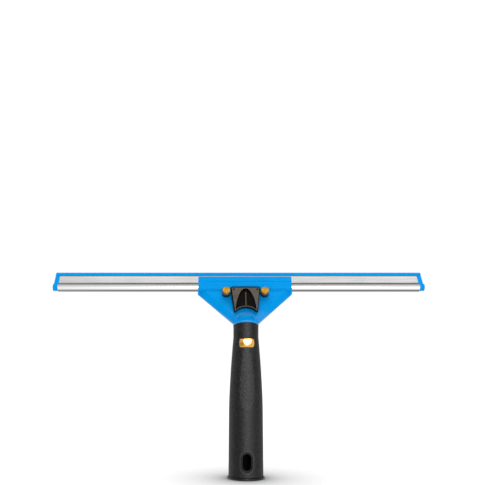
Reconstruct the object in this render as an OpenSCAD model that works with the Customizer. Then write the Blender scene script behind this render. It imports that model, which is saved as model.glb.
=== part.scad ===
// Window cleaning squeegee: a hollow grip, a leaning clamp head with a release lever,
// and a steel channel that holds the rubber blade and slides sideways in the head.
// The tool stands on the foot of its handle, the lever faces -Y and the blade lies along X.

/* [Handle] */
// Height of the joint between handle and head, at the handle's axis
handle_len = 143.7; // [135:0.1:165]
// Outer radius of the grip just above its foot
grip_foot_r = 16.5; // [16.2:0.1:17.5]
// Outer radius of the grip where its taper starts
grip_r = 15.95; // [15.5:0.05:16.1]
// Outer radius of the slim neck below the head
neck_r = 11.8; // [11.6:0.1:12.6]
// Length of the slim neck
neck_len = 10.7; // [9:0.1:13]
// Length over which the grip tapers to the neck
taper_len = 69; // [60:1:74]
// How late the taper turns in: 1 is a straight cone
taper_power = 1.5; // [1.2:0.1:2]
// Slope of the rim that meets the head
rim_angle = 15.6; // [12:0.1:18]
// Radius of the flange at the foot
flange_r = 17.8; // [17.6:0.05:19]
// Height of the flange at the foot
flange_h = 2; // [2:0.1:4]
// Rounding of the flange's edges
flange_round = 0.9; // [0.4:0.1:0.9]

/* [Pole socket] */
// Radius of the socket's lead-in
mouth_r = 11.9; // [11.6:0.1:12.3]
// Length of the lead-in
mouth_len = 28; // [26:1:32]
// Radius of the socket that grips the pole
socket_r = 11.4; // [10.8:0.1:11.5]
// Length of the gripping part
socket_len = 30; // [20:1:34]
// Radius of the socket's narrow end
socket_end_r = 8.6; // [8:0.1:9]
// Height of the socket's narrow end
socket_end_z = 108; // [104:1:112]
// Wall of the handle's core
core_wall = 1.6; // [1.3:0.1:1.8]
// Radius of the core in the neck
core_neck_r = 10.3; // [10:0.1:10.6]

/* [Thumb scoop] */
// Height of the scoop's centre
scoop_z = 95.3; // [90:0.1:98]
// Length of the scoop
scoop_len = 57.4; // [50:0.1:60]
// Depth of the scoop at its centre, below the grip's surface
scoop_depth = 2.2; // [1.6:0.1:2.4]

/* [Pole lock slot] */
// Height of the slot's centre
slot_z = 16.7; // [16:0.1:17.2]
// Width of the slot
slot_w = 7.8; // [7.5:0.1:9]
// Height of the slot
slot_h = 15.6; // [15:0.1:17]
// Width of the bevel round the slot
slot_bevel = 2.5; // [1.5:0.1:2.8]
// Depth of the bevel round the slot
slot_bevel_depth = 1.7; // [1:0.1:2]

/* [Neck post] */
// Distance of the brass neck post below the joint
neck_post_drop = 16.3; // [15:0.1:16.5]
// Radius of its round head
neck_head_r = 7.4; // [7.2:0.05:8]
// Height of its head between the two flats
neck_head_h = 8; // [7.8:0.1:8.6]
// Thickness of its head at the middle
neck_head_t = 2.6; // [2.4:0.1:2.8]
// Rise of the head's crowned face
neck_head_crown = 0.8; // [0.4:0.1:1]
// Radius of its shank
neck_shank_r = 3.6; // [3.4:0.1:3.7]
// Distance of the crowned face behind the neck's surface
neck_head_sink = 0.5; // [0.3:0.1:0.9]
// Radius of the shank of the screw that holds it from the back
neck_screw_r = 2; // [1.8:0.1:2.2]
// Radius of that screw's countersunk head
neck_screw_head_r = 3.9; // [3.6:0.1:4.1]
// Radius of the plastic stub inside the neck
stub_r = 8.5; // [8.2:0.1:8.6]
// Length of the stub below the joint
stub_len = 25.4; // [24:0.1:27]

/* [Head] */
// Backward lean of the head
lean = 24; // [20:0.5:28]
// Radius of the head's neck where it meets the handle
head_neck_r = 12; // [11.9:0.05:12.8]
// Height of the head's top edge along its own slope
plate_top = 51; // [50:0.1:52]
// Half width of the head along its top
plate_half = 45; // [40:0.5:50]
// Extra half width at the shoulders
shoulder_out = 0.5; // [0:0.1:1.2]
// Height of the shoulders along the slope
shoulder_v = 35; // [34:0.1:35.2]
// Height of the lower end of the slanted sides
waist_v = 2.7; // [2:0.1:3]
// Thickness of each half of the head
half_t = 4.5; // [4.4:0.1:4.8]
// Thickness of each half where it clamps the channel
band_t = 6.1; // [5.9:0.1:6.6]
// Height of the lower edge of the thick band
band_v = 35.6; // [35.2:0.1:36]
// Width of the bevel along the slanted sides
bevel_w = 5; // [4:0.1:6]
// Thickness of each half at its outer edge
edge_t = 1.8; // [1.4:0.1:2.4]
// Height at which the neck has run out into the flat face
flare_v = 11.5; // [11:0.1:12.5]
// Depth of the shallow groove across the band
groove_depth = 0.35; // [0.2:0.05:0.5]
// Width of that groove
groove_w = 3.9; // [3:0.1:4.4]
// Depth of the hollows between the ribs on the back
rib_depth = 2.2; // [1.5:0.1:2.5]
// Thickness of the ribs on the back
rib_t = 1.8; // [1.5:0.1:2.4]

/* [Channel] */
// Length of the steel channel
channel_len = 350; // [300:5:400]
// Distance of the channel's middle to the left of the handle, as set in the clamp
channel_shift = 6; // [0:0.5:20]
// Thickness of the channel's sheet steel
sheet_t = 0.6; // [0.5:0.05:0.8]
// Outer radius of the round part that holds the bead
bulge_r = 4.2; // [3.9:0.1:4.4]
// Height of the round part's centre along the head's slope
bulge_v = 42.1; // [41.9:0.1:42.4]
// Radius of the hollow curve between the round part and the lips
root_r = 1.6; // [1:0.1:2.2]
// Outer thickness of the two lips together
lips_t = 3.5; // [3.2:0.1:4]
// Height of the lips' free edges along the slope
lips_v = 54.2; // [53:0.1:56]
// How much shorter the channel is at its lips, at each end
channel_rake = 1.3; // [0:0.1:2]

/* [Rubber blade] */
// Length of the rubber at its bead
bead_len = 359.5; // [309:0.5:412]
// How much shorter the rubber is at its wiping edge, at each end
rubber_rake = 1.9; // [0:0.1:3]
// Height of the wiping edge above the lips
blade_out = 3.9; // [3:0.1:8]
// Thickness of the rubber outside the channel
blade_t = 3.2; // [2.4:0.1:3.6]

/* [Lever] */
// Sideways distance of the studs from the middle
stud_x = 18.4; // [18.2:0.1:19]
// Height of the pivot along the head's slope
pivot_v = 32.2; // [31.8:0.1:32.4]
// Height of the pivot above the parting plane
pivot_w = 7.3; // [7.2:0.05:7.5]
// Half width of the lever at its top edge
lever_top_half = 14.05; // [13:0.05:14.1]
// Half width of the lever level with its horns
lever_foot_half = 11.4; // [10.5:0.1:12]
// Height of the lever's top edge along the slope
lever_top = 37.7; // [36:0.1:37.8]
// Height of the lever's flat back above the parting plane
lever_back_w = 6.6; // [6.4:0.1:6.9]
// Height of the lever's face above the parting plane
lever_face_w = 10.3; // [10.1:0.1:10.8]
// Radius of the round cut-out at the lever's foot
cutout_r = 12.25; // [11:0.05:13]
// Height of the top of that cut-out along the slope
cutout_v = 15.4; // [13:0.1:16]
// Width of the bevel round the lever's face
lever_bevel = 0.9; // [0.5:0.1:1.1]
// Height of the top of the arched recess along the slope
arch_top = 35.2; // [33:0.1:35.4]
// Half width of the arched recess at its foot
arch_half = 9.9; // [8.5:0.1:10.2]
// Thickness left behind the arched recess
arch_floor = 1.4; // [1:0.1:1.8]
// Width of the rib down the middle of the recess
arch_rib = 1.4; // [1.2:0.1:3]
// Width of the lip between recess and cut-out
arch_lip = 1; // [0.8:0.1:1.6]
// Radius of the steel pivot pins
pin_r = 1; // [0.9:0.05:1.1]
// Width of each tooth that reaches through the head to the channel
tooth_t = 3.4; // [2.6:0.1:3.8]
// Sideways distance of the teeth from the middle
tooth_x = 11.2; // [11:0.1:11.3]
// Depth to which the teeth reach, above the parting plane
tooth_w = -0.3; // [-0.5:0.1:0]
// Swing of the lever from shut to open
lever_swing = 60; // [30:1:60]

/* [Studs and screws] */
// Radius of the black collars
collar_r = 4.1; // [3.9:0.05:4.2]
// Height of the collars' tops above the parting plane
collar_top = 11.1; // [10.8:0.1:11.6]
// Radius of the brass caps
cap_r = 3.6; // [3.2:0.1:3.8]
// Thickness of the brass caps
cap_t = 1.2; // [1:0.1:1.6]
// Radius of the posts' shanks
post_r = 2; // [1.9:0.05:2.1]
// Radius of the back screws' shanks
screw_r = 1.4; // [1.2:0.05:1.5]
// Radius of the back screws' heads
screw_head_r = 2.9; // [2.6:0.1:3.1]
// Thickness of the back screws' heads
screw_head_t = 1.8; // [1.5:0.1:1.9]

/* [Springs] */
// Thickness of the spring wire
wire_d = 0.5; // [0.4:0.05:0.55]
// Turns of each spring
spring_turns = 4; // [3:1:4]

/* [Clearances] */
// Gap all round between a fixed shank or stub and its hole
fit_gap = 0.05; // [0.02:0.01:0.1]
// Gap all round between the channel and its slot in the head
slide_gap = 0.1; // [0.06:0.01:0.1]
// Gap all round between a pin and the part that turns on it
pin_gap = 0.05; // [0.03:0.01:0.08]
// Gap between moving plastic pieces
free_gap = 0.4; // [0.3:0.05:0.6]
// Gap between the teeth and the channel when the lever is shut
tooth_gap = 0.15; // [0.1:0.05:0.3]

/* [Hidden] */
$fn = 96;
far = 400;
eps = 0.01;
arc_steps = 10;
taper_steps = 12;
loft_points = 48;
flare_steps = 7;

// Handle heights that follow from the lengths above
neck_z = handle_len - neck_len;
taper_z = neck_z - taper_len;
stub_z = handle_len - stub_len;
post_z = handle_len - neck_post_drop;
socket_top_z = mouth_len + socket_len;
core_r = mouth_r + core_wall;
core_end_r = socket_end_r + core_wall;
scoop_surface_r = grip_radius(scoop_z);
scoop_end_r = (grip_radius(scoop_z - scoop_len / 2) + grip_radius(scoop_z + scoop_len / 2)) / 2;
scoop_floor_r = scoop_surface_r - scoop_depth;
scoop_sag = scoop_end_r - scoop_floor_r;
scoop_r = (pow(scoop_len / 2, 2) + pow(scoop_sag, 2)) / (2 * scoop_sag);
scoop_drop = grip_radius(scoop_z - scoop_len / 2) - grip_radius(scoop_z + scoop_len / 2);
scoop_slope = atan(scoop_drop / scoop_len);
neck_head_face = neck_r - neck_head_sink;
neck_shank_end = 6;
neck_screw_tip = -2;
neck_screw_face = neck_r - 0.9;
hex_r = 1.3;
hex_depth = 1.2;
neck_head_back = neck_r - 1.1 - neck_head_t + neck_head_sink;

// Head outline and flare
shoulder_half = plate_half + shoulder_out;
side_angle = atan2(shoulder_v - waist_v, shoulder_half - head_neck_r);
bevel_angle = atan2(half_t - edge_t, bevel_w);
flare_low_v = 0.5;
flare_rise = head_neck_r - half_t;
flare_run = flare_v - flare_low_v;
flare_r = (flare_run * flare_run + flare_rise * flare_rise) / (2 * flare_rise);
flare_half = 11.2;
neck_straight = 14;
stub_root = 3;
band_chamfer = 0.6;
groove_v = bulge_v + 1.6;
top_round = 1.5;

// Studs and lever
post_bore_end = 3;
post_back = -2;
screw_seat = -2.5;
pin_out = stud_x - post_r - fit_gap - 0.15;
pin_in = 5.9;
hub_r = 2.4;
hub_half = 2;
lever_corner_r = 2;
arch_power = 1.7;
arch_rib_drop = 0.3;
dimple_r = 0.9;
dimple_up = 1.9;
dimple_depth = 0.4;
horn_r = 1.2;
cutout_centre = cutout_v - cutout_r;
horn_x = lever_foot_half - horn_r / cos(lever_side_angle());
horn_v = cutout_centre + sqrt(pow(cutout_r + horn_r, 2) - horn_x * horn_x);
lever_knee_w = lever_face_w - lever_bevel;
nose_reach = norm([lever_top - pivot_v, lever_face_w - pivot_w]);
nose_turn = atan2(lever_face_w - pivot_w, lever_top - pivot_v);
nose_spare = 1;
nose_low_w = pivot_w - nose_reach * sin(lever_swing - nose_turn) - nose_spare;
back_reach = norm([lever_top - pivot_v, pivot_w - lever_back_w]);
tooth_top = bulge_v - bulge_r - tooth_gap;
tooth_h = 4;
tooth_reach = norm([tooth_top - pivot_v, pivot_w - tooth_w]);
slot_half = tooth_t / 2 + free_gap;
slot_low_v = pivot_v - tooth_reach * sin(lever_swing) + 1.2;

// Channel and rubber
root_sink = 0.03;
bead_r = bulge_r - sheet_t - 0.1;
web_t = lips_t - 2 * sheet_t - 0.1;
blade_top = lips_v + blade_out;
rubber_recess = 0.9;

// ---- helpers ----

// Radius of the grip's outer surface at a height
function grip_radius(z) =
    z >= neck_z ? neck_r :
    z <= taper_z ? grip_foot_r + (grip_r - grip_foot_r) * (z - flange_h) / (taper_z - flange_h) :
    grip_r - (grip_r - neck_r) * pow((z - taper_z) / taper_len, taper_power);

// Points of a round stretch of an outline
function arc(centre, r, from, to, steps = arc_steps) = [
    for (i = [0:steps])
        let(turn = from + (to - from) * i / steps)
        centre + r * [cos(turn), sin(turn)]
];

// Power that keeps the sign of its base
function signed_pow(x, p) = sign(x) * pow(abs(x), p);

// Slope of the lever's sides
function lever_side_angle() = atan((lever_top_half - lever_foot_half) / (lever_top - 10));

// Solid skinned over rings of points, all with the same number of points
module loft(rings) {
    count = len(rings[0]);
    last = len(rings) - 1;
    polyhedron(
        points = [for (ring = rings) each ring],
        faces = concat(
            [[for (i = [count - 1:-1:0]) i]],
            [for (k = [0:last - 1], i = [0:count - 1])
                [k * count + i, k * count + (i + 1) % count,
                 (k + 1) * count + (i + 1) % count, (k + 1) * count + i]],
            [[for (i = [0:count - 1]) last * count + i]]
        )
    );
}

// Puts a shape drawn flat on the leaning head: X across, Y up the slope, Z out to the front
module on_head() {
    translate([0, 0, handle_len]) rotate([90 - lean, 0, 0]) children();
}

// Mirrors a piece drawn for the right side when the side is the left one
module flipped(side) {
    mirror([side > 0 ? 0 : 1, 0, 0]) children();
}

// Cylinder that lies along X in the head's own axes, from x0 to x1
module bar(r, x0, x1, v, w) {
    translate([x0, v, w]) rotate([0, 90, 0]) cylinder(r = r, h = x1 - x0);
}

// Side profile, given as [up the slope, out to the front], drawn out along X
module along_x(half) {
    translate([-half, 0, 0]) rotate([90, 0, 90]) linear_extrude(2 * half) children();
}

// Everything above the sloping joint between handle and head
module above_rim(gap = 0) {
    translate([0, 0, handle_len + gap]) rotate([-rim_angle, 0, 0])
        translate([-far, -far, 0]) cube([2 * far, 2 * far, far]);
}

// ---- handle ----

module neck_slot_shape(r, h, depth) {
    intersection() {
        rotate([90, 0, 0]) cylinder(r = r, h = depth);
        translate([-r, -depth, -h / 2]) cube([2 * r, depth, h]);
    }
}

// Upright slot with round ends, cut in from the front as far as the axis
module lock_slot() {
    run = slot_h - slot_w;
    translate([0, 0, slot_z]) {
        for (s = [-1, 1]) translate([0, 0, s * run / 2]) rotate([90, 0, 0])
            cylinder(r = slot_w / 2, h = flange_r);
        translate([-slot_w / 2, -flange_r, -run / 2]) cube([slot_w, flange_r, run]);
    }
}

// Bevel round the slot, widening towards the grip's surface
module lock_slot_bevel() {
    surface = grip_radius(slot_z);
    run = slot_h - slot_w;
    depth = slot_bevel_depth + 1;
    inner = slot_w / 2;
    outer = inner + depth * slot_bevel / slot_bevel_depth;
    translate([0, -surface + slot_bevel_depth, slot_z]) {
        for (s = [-1, 1]) translate([0, 0, s * run / 2]) rotate([90, 0, 0])
            cylinder(r1 = inner, r2 = outer, h = depth);
        translate([0, 0, -run / 2]) linear_extrude(run)
            polygon([[-inner, 0], [inner, 0], [outer, -depth], [-outer, -depth]]);
    }
}

// Holes for the neck post and its screw through everything round the neck
module neck_post_holes() {
    translate([0, 0, post_z]) {
        translate([0, -neck_head_back, 0])
            neck_slot_shape(neck_head_r + fit_gap, neck_head_h + 2 * fit_gap, far);
        rotate([90, 0, 0]) translate([0, 0, -neck_shank_end - fit_gap])
            cylinder(r = neck_shank_r + fit_gap, h = far);
        rotate([-90, 0, 0]) {
            cylinder(r = neck_screw_r + fit_gap, h = far);
            translate([0, 0, neck_screw_face - neck_screw_head_r])
                cylinder(r1 = 0, r2 = neck_screw_head_r, h = neck_screw_head_r);
            translate([0, 0, neck_screw_face - eps]) cylinder(r = neck_screw_head_r, h = far);
        }
    }
}

module handle_core() {
    color([0.1, 0.1, 0.11]) difference() {
        rotate_extrude() polygon(concat(
            [[mouth_r, 0]],
            arc([flange_r - flange_round, flange_round], flange_round, -90, 0, 4),
            arc([flange_r - flange_round, flange_h - flange_round], flange_round, 0, 90, 4),
            [[core_r, flange_h], [core_r, socket_top_z],
             [core_end_r, socket_end_z - 14], [core_neck_r, stub_z - 8], [core_neck_r, far / 2],
             [stub_r + fit_gap, far / 2], [stub_r + fit_gap, stub_z - fit_gap], [0, stub_z - fit_gap],
             [0, socket_end_z], [socket_end_r - 1, socket_end_z], [socket_end_r, socket_end_z - 1],
             [socket_r, socket_top_z], [socket_r, mouth_len], [mouth_r, mouth_len - 1]]
        ));
        above_rim();
        lock_slot();
        neck_post_holes();
    }
}

module grip_sleeve() {
    color([0.16, 0.16, 0.17]) difference() {
        rotate_extrude() polygon(concat(
            [[core_r, flange_h], [grip_foot_r, flange_h]],
            [for (i = [0:taper_steps])
                [grip_radius(taper_z + taper_len * i / taper_steps), taper_z + taper_len * i / taper_steps]],
            [[neck_r, far / 2], [core_neck_r, far / 2], [core_neck_r, stub_z - 8],
             [core_end_r, socket_end_z - 14], [core_r, socket_top_z]]
        ));
        above_rim();
        lock_slot();
        lock_slot_bevel();
        translate([0, -scoop_floor_r, scoop_z]) rotate([scoop_slope, 0, 0])
            translate([0, -scoop_r, 0]) rotate([0, 90, 0])
                cylinder(r = scoop_r, h = 4 * grip_r, center = true, $fn = 360);
        neck_post_holes();
    }
}

module neck_post() {
    dome_r = (neck_head_r * neck_head_r + neck_head_crown * neck_head_crown) / (2 * neck_head_crown);
    color([0.85, 0.63, 0.25]) translate([0, 0, post_z]) difference() {
        union() {
            intersection() {
                translate([0, -neck_head_back, 0])
                    neck_slot_shape(neck_head_r, neck_head_h, neck_head_t + neck_head_crown);
                translate([0, -neck_head_face + dome_r, 0]) sphere(r = dome_r, $fn = 200);
            }
            rotate([90, 0, 0]) translate([0, 0, -neck_shank_end])
                cylinder(r = neck_shank_r, h = neck_shank_end + neck_head_back + eps);
        }
        rotate([90, 0, 0]) translate([0, 0, -neck_shank_end - eps])
            cylinder(r = neck_screw_r + fit_gap, h = neck_shank_end + 3);
    }
}

module neck_screw() {
    cone_h = neck_screw_head_r - neck_screw_r - fit_gap;
    shank_h = neck_screw_face - cone_h - neck_screw_tip;
    color([0.7, 0.71, 0.72]) translate([0, 0, post_z]) rotate([-90, 0, 0]) difference() {
        union() {
            translate([0, 0, neck_screw_tip]) cylinder(r = neck_screw_r, h = shank_h + eps);
            translate([0, 0, neck_screw_face - cone_h])
                cylinder(r1 = neck_screw_r, r2 = neck_screw_head_r - fit_gap, h = cone_h);
        }
        translate([0, 0, neck_screw_face - hex_depth]) cylinder(r = hex_r, h = far, $fn = 6);
    }
}

// ---- head ----

// Outline of the head, seen from the front
module head_outline() {
    polygon(concat(
        [[head_neck_r - 1, flare_low_v - 1], [head_neck_r, waist_v], [shoulder_half, shoulder_v],
         [plate_half, shoulder_v + 1.8]],
        arc([plate_half - top_round, plate_top - top_round], top_round, 0, 90, 4),
        arc([top_round - plate_half, plate_top - top_round], top_round, 90, 180, 4),
        [[-plate_half, shoulder_v + 1.8], [-shoulder_half, shoulder_v], [-head_neck_r, waist_v],
         [1 - head_neck_r, flare_low_v - 1]]
    ));
}

// Removes the bevel along one slanted side
module side_bevel() {
    translate([head_neck_r, waist_v, edge_t]) rotate([0, 0, side_angle]) rotate([bevel_angle, 0, 0])
        translate([-10, -10, 0]) cube([shoulder_v * 2, 10 + 2 * bevel_w, 10]);
}

// Ring of the neck at a height along the slope: round at the joint, wide and flat at the top
function flare_half_t(v) =
    half_t + flare_r - sqrt(max(0, flare_r * flare_r - pow(flare_v - v, 2)));
function flare_ring(v) =
    let(t = (v - flare_low_v) / flare_run,
        a = head_neck_r + (flare_half - head_neck_r) * t,
        b = flare_half_t(v) - 0.1 * t,
        p = 2 / (2 + t))
    [for (i = [0:loft_points - 1])
        let(turn = 360 * i / loft_points)
        [a * signed_pow(cos(turn), p), v, b * signed_pow(sin(turn), p)]];

// Both halves of the head's neck, running out into the flat faces
module neck_flare() {
    straight = [for (p = flare_ring(flare_low_v)) p - [0, neck_straight, 0]];
    flared = [for (k = [flare_steps:-1:0]) flare_ring(flare_v - flare_run * sqrt(k / flare_steps))];
    loft(concat([straight], flared));
}

// One half of the head, without its neck, lying on the parting plane
module half_plate(grooved) {
    difference() {
        linear_extrude(half_t) head_outline();
        side_bevel();
        mirror([1, 0, 0]) side_bevel();
    }
    intersection() {
        linear_extrude(band_t) head_outline();
        difference() {
            along_x(plate_half + 1) polygon([
                [band_v, 0], [band_v, half_t], [band_v + band_t - half_t, band_t],
                [plate_top - band_chamfer, band_t], [plate_top, band_t - band_chamfer], [plate_top, 0]
            ]);
            if (grooved) along_x(plate_half + 2) polygon([
                [groove_v - groove_w / 2, band_t + eps],
                [groove_v - groove_w / 2 + groove_depth, band_t - groove_depth],
                [groove_v + groove_w / 2 - groove_depth, band_t - groove_depth],
                [groove_v + groove_w / 2, band_t + eps]
            ]);
        }
    }
}

// The channel's outside up to a height along the slope, grown all round by a gap:
// the round part, the lips, and the hollow curve between them on either side
module channel_bar(long_half, top, grow = 0) {
    half = lips_t / 2 + grow;
    root_w = lips_t / 2 + root_r;
    root_v = bulge_v + sqrt(pow(bulge_r + root_r - root_sink, 2) - root_w * root_w);
    to_bulge = atan2(-root_w, bulge_v - root_v);
    bar(bulge_r + grow, -long_half, long_half, bulge_v, 0);
    along_x(long_half) polygon(concat(
        [[bulge_v, 0]],
        arc([root_v, root_w], root_r - grow, to_bulge, -90),
        [[top, half], [top, -half]],
        arc([root_v, -root_w], root_r - grow, 90, -to_bulge)
    ));
}

// Slot through which the channel slides
module channel_slot() {
    channel_bar(far, plate_top + 1, slide_gap);
}

// Room for the lever's top edge, which swings back into the head as the lever opens
module nose_room() {
    half = lever_top_half + free_gap;
    intersection() {
        bar(back_reach + free_gap, -half, half, pivot_v, pivot_w);
        translate([-half, pivot_v, 0]) cube([2 * half, far, pivot_w]);
    }
    intersection() {
        bar(nose_reach + free_gap, -half, half, pivot_v, pivot_w);
        translate([-half, pivot_v, nose_low_w]) cube([2 * half, far, pivot_w]);
    }
}

// Half of the stub that hangs from the head into the handle's neck: side is -1 in front and 1 behind
module head_stub(side, top) {
    difference() {
        translate([0, 0, stub_z]) cylinder(r = stub_r, h = top - stub_z);
        translate([-far / 2, side > 0 ? -far : 0, 0]) cube([far, far, far]);
    }
}

module front_shell() {
    color([0.0, 0.55, 0.9]) difference() {
        union() {
            intersection() {
                above_rim();
                on_head() union() {
                    half_plate(true);
                    intersection() {
                        neck_flare();
                        translate([-far / 2, -far / 2, 0]) cube([far, far, far / 2]);
                    }
                }
            }
            head_stub(-1, handle_len + stub_root);
        }
        on_head() {
            channel_slot();
            for (s = [-1, 1]) {
                translate([s * stud_x, pivot_v, -eps]) cylinder(r = post_r + fit_gap, h = half_t + 1);
                translate([s * stud_x, pivot_v, half_t]) cylinder(r = collar_r + fit_gap, h = 10);
                translate([s * tooth_x - slot_half, slot_low_v, -1])
                    cube([2 * slot_half, bulge_v - slot_low_v - bulge_r * 0.7, half_t + 2]);
            }
            nose_room();
        }
        neck_post_holes();
    }
}

// Distance from the middle to the bevel's inner edge, at a height along the slope
function flat_half(v) = head_neck_r + (v - waist_v) / tan(side_angle) - bevel_w / sin(side_angle);

// Hollows between the ribs on the back of the head: two beside a middle spine, two outside the screws
module rib_hollows() {
    boss_in = stud_x - screw_head_r - rib_t;
    boss_out = stud_x + screw_head_r + rib_t;
    low = flare_v + rib_t;
    mid = slot_low_v - rib_t;
    high = shoulder_v - rib_t / 2;
    for (s = [-1, 1]) translate([0, 0, half_t - rib_depth]) linear_extrude(10) {
        polygon([
            [s * rib_t / 2, low], [s * (flat_half(low) - rib_t / 2), low],
            [s * min(boss_in, flat_half(mid) - rib_t), mid], [s * rib_t / 2, mid]
        ]);
        polygon([
            [s * boss_out, waist_v + (boss_out - flat_half(waist_v) + rib_t) * tan(side_angle)],
            [s * (flat_half(high) - rib_t), high],
            [s * boss_out, high]
        ]);
    }
}

module rear_shell() {
    color([0.0, 0.5, 0.85]) difference() {
        union() {
            intersection() {
                above_rim();
                on_head() mirror([0, 0, 1]) union() {
                    half_plate(false);
                    intersection() {
                        neck_flare();
                        translate([-far / 2, -far / 2, 0]) cube([far, far, far / 2]);
                    }
                }
            }
            head_stub(1, handle_len);
        }
        on_head() {
            channel_slot();
            mirror([0, 0, 1]) rib_hollows();
            for (s = [-1, 1]) {
                translate([s * stud_x, pivot_v, -half_t - 1]) cylinder(r = post_r + fit_gap, h = half_t + 2);
                translate([s * stud_x, pivot_v, -far]) cylinder(r = screw_head_r + 0.2, h = far + screw_seat);
                translate([s * tooth_x - slot_half, slot_low_v + 1, pivot_w - tooth_reach - free_gap])
                    cube([2 * slot_half, bulge_v - slot_low_v - bulge_r * 0.7, 5]);
            }
        }
        neck_post_holes();
    }
}

// ---- studs ----

module collar(side) {
    color([0.07, 0.07, 0.08]) on_head() translate([side * stud_x, pivot_v, 0]) difference() {
        rotate_extrude() polygon([
            [post_r + fit_gap, half_t], [collar_r, half_t], [collar_r, collar_top - 0.4],
            [collar_r - 0.4, collar_top], [post_r + fit_gap, collar_top]
        ]);
        flipped(side) bar(pin_r + fit_gap / 2, -stud_x, -post_r, 0, pivot_w);
    }
}

module collar_left() { collar(-1); }
module collar_right() { collar(1); }

module stud_post(side) {
    color([0.85, 0.63, 0.25]) on_head() translate([side * stud_x, pivot_v, 0]) difference() {
        rotate_extrude() polygon([
            [0, post_back], [post_r, post_back], [post_r, collar_top], [cap_r, collar_top],
            [cap_r, collar_top + cap_t - 0.3], [cap_r - 0.3, collar_top + cap_t],
            [cap_r * 0.62, collar_top + cap_t], [cap_r * 0.55, collar_top + cap_t - 0.15],
            [cap_r * 0.3, collar_top + cap_t - 0.15], [cap_r * 0.22, collar_top + cap_t],
            [0, collar_top + cap_t]
        ]);
        translate([0, 0, post_back - eps]) cylinder(r = screw_r + fit_gap, h = post_bore_end - post_back);
    }
}

module stud_post_left() { stud_post(-1); }
module stud_post_right() { stud_post(1); }

module rear_screw(side) {
    color([0.7, 0.71, 0.72]) on_head() translate([side * stud_x, pivot_v, 0]) difference() {
        union() {
            translate([0, 0, screw_seat - screw_head_t]) cylinder(r = screw_head_r, h = screw_head_t);
            translate([0, 0, screw_seat - eps]) cylinder(r = screw_r, h = post_bore_end - screw_seat - 1);
        }
        translate([0, 0, screw_seat - screw_head_t - eps]) cylinder(r = hex_r, h = hex_depth, $fn = 6);
    }
}

module rear_screw_left() { rear_screw(-1); }
module rear_screw_right() { rear_screw(1); }

// ---- lever ----

module lever_pin(side) {
    color([0.75, 0.76, 0.78]) on_head() flipped(side)
        bar(pin_r, pin_in, pin_out, pivot_v, pivot_w);
}

module lever_pin_left() { lever_pin(-1); }
module lever_pin_right() { lever_pin(1); }

// Outline of the lever seen from the front, set in all round by a distance
function lever_right(inset) =
    let(lean_in = lever_side_angle(),
        corner = [lever_top_half - lever_corner_r, lever_top - lever_corner_r],
        horn = [horn_x, horn_v],
        horn_turn = atan2(cutout_centre - horn_v, -horn_x))
    concat(
        arc(corner, lever_corner_r - inset, 90, -lean_in, 6),
        arc(horn, horn_r - inset, -lean_in, horn_turn, 8)
    );
function lever_outline(inset) =
    let(right = lever_right(inset),
        horn_at = atan2(horn_v - cutout_centre, horn_x),
        cut = arc([0, cutout_centre], cutout_r + inset, horn_at, 180 - horn_at, 16),
        half = [for (i = [len(right) - 1:-1:0]) [-right[i][0], right[i][1]]])
    concat(right, [for (i = [1:len(cut) - 2]) cut[i]], half);
function lever_ring(inset, w) = [for (p = lever_outline(inset)) [p[0], p[1], w]];

// Arched recess with its rib and lip left standing
module arch_recess() {
    foot = horn_v - 1.5;
    rise = arch_top - foot;
    steps = 14;
    side = [
        for (i = [0:steps])
            let(t = sin(90 * i / steps))
            [arch_half * sqrt(1 - pow(t, arch_power)), foot + rise * t]
    ];
    difference() {
        translate([0, 0, lever_back_w + arch_floor]) linear_extrude(10)
            polygon(concat(side, [for (i = [steps - 1:-1:0]) [-side[i][0], side[i][1]]]));
        translate([0, cutout_centre, 0]) cylinder(r = cutout_r + arch_lip, h = 30);
        translate([-arch_rib / 2, 0, 0]) cube([arch_rib, far, lever_face_w - arch_rib_drop]);
    }
}

module release_lever() {
    color([0.07, 0.07, 0.08]) on_head() difference() {
        union() {
            loft([
                lever_ring(0.4, lever_back_w), lever_ring(0, lever_back_w + 0.4),
                lever_ring(0, lever_knee_w), lever_ring(lever_bevel, lever_face_w)
            ]);
            for (s = [-1, 1]) {
                bar(hub_r, s * tooth_x - hub_half, s * tooth_x + hub_half, pivot_v, pivot_w);
                translate([s * tooth_x - tooth_t / 2, tooth_top - tooth_h, tooth_w])
                    cube([tooth_t, tooth_h, pivot_w - tooth_w]);
            }
        }
        arch_recess();
        for (s = [-1, 1]) {
            flipped(s) bar(pin_r + pin_gap, pin_in - 0.4, stud_x, pivot_v, pivot_w);
            translate([s * tooth_x, pivot_v + dimple_up, lever_face_w - dimple_depth])
                cylinder(r = dimple_r, h = 2);
        }
        spring_pockets();
    }
}

module spring_pockets() {
    reach = pin_r + 2 * wire_d + 0.6;
    for (s = [-1, 1]) flipped(s) {
        bar(reach, pin_in - 0.4, tooth_x - hub_half - eps, pivot_v, pivot_w);
    }
}

// ---- springs ----

// Route of a torsion spring: a leg on the head, the turns round the pin, a leg behind the lever
function spring_route() =
    let(r = pin_r + 0.15 + wire_d / 2,
        steps = 10 * spring_turns,
        pitch = wire_d * 1.12,
        x0 = tooth_x - hub_half - wire_d - spring_turns * pitch)
    concat(
        [[x0, pivot_v - 6, half_t + wire_d / 2 + 0.1]],
        [for (i = [0:steps])
            let(turn = -90 + 360 * spring_turns * i / steps)
            [x0 + pitch * spring_turns * i / steps, pivot_v + r * cos(turn), pivot_w + r * sin(turn)]],
        [[x0 + pitch * spring_turns, pivot_v - 6, lever_back_w - wire_d / 2 - 0.1]]
    );

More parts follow.
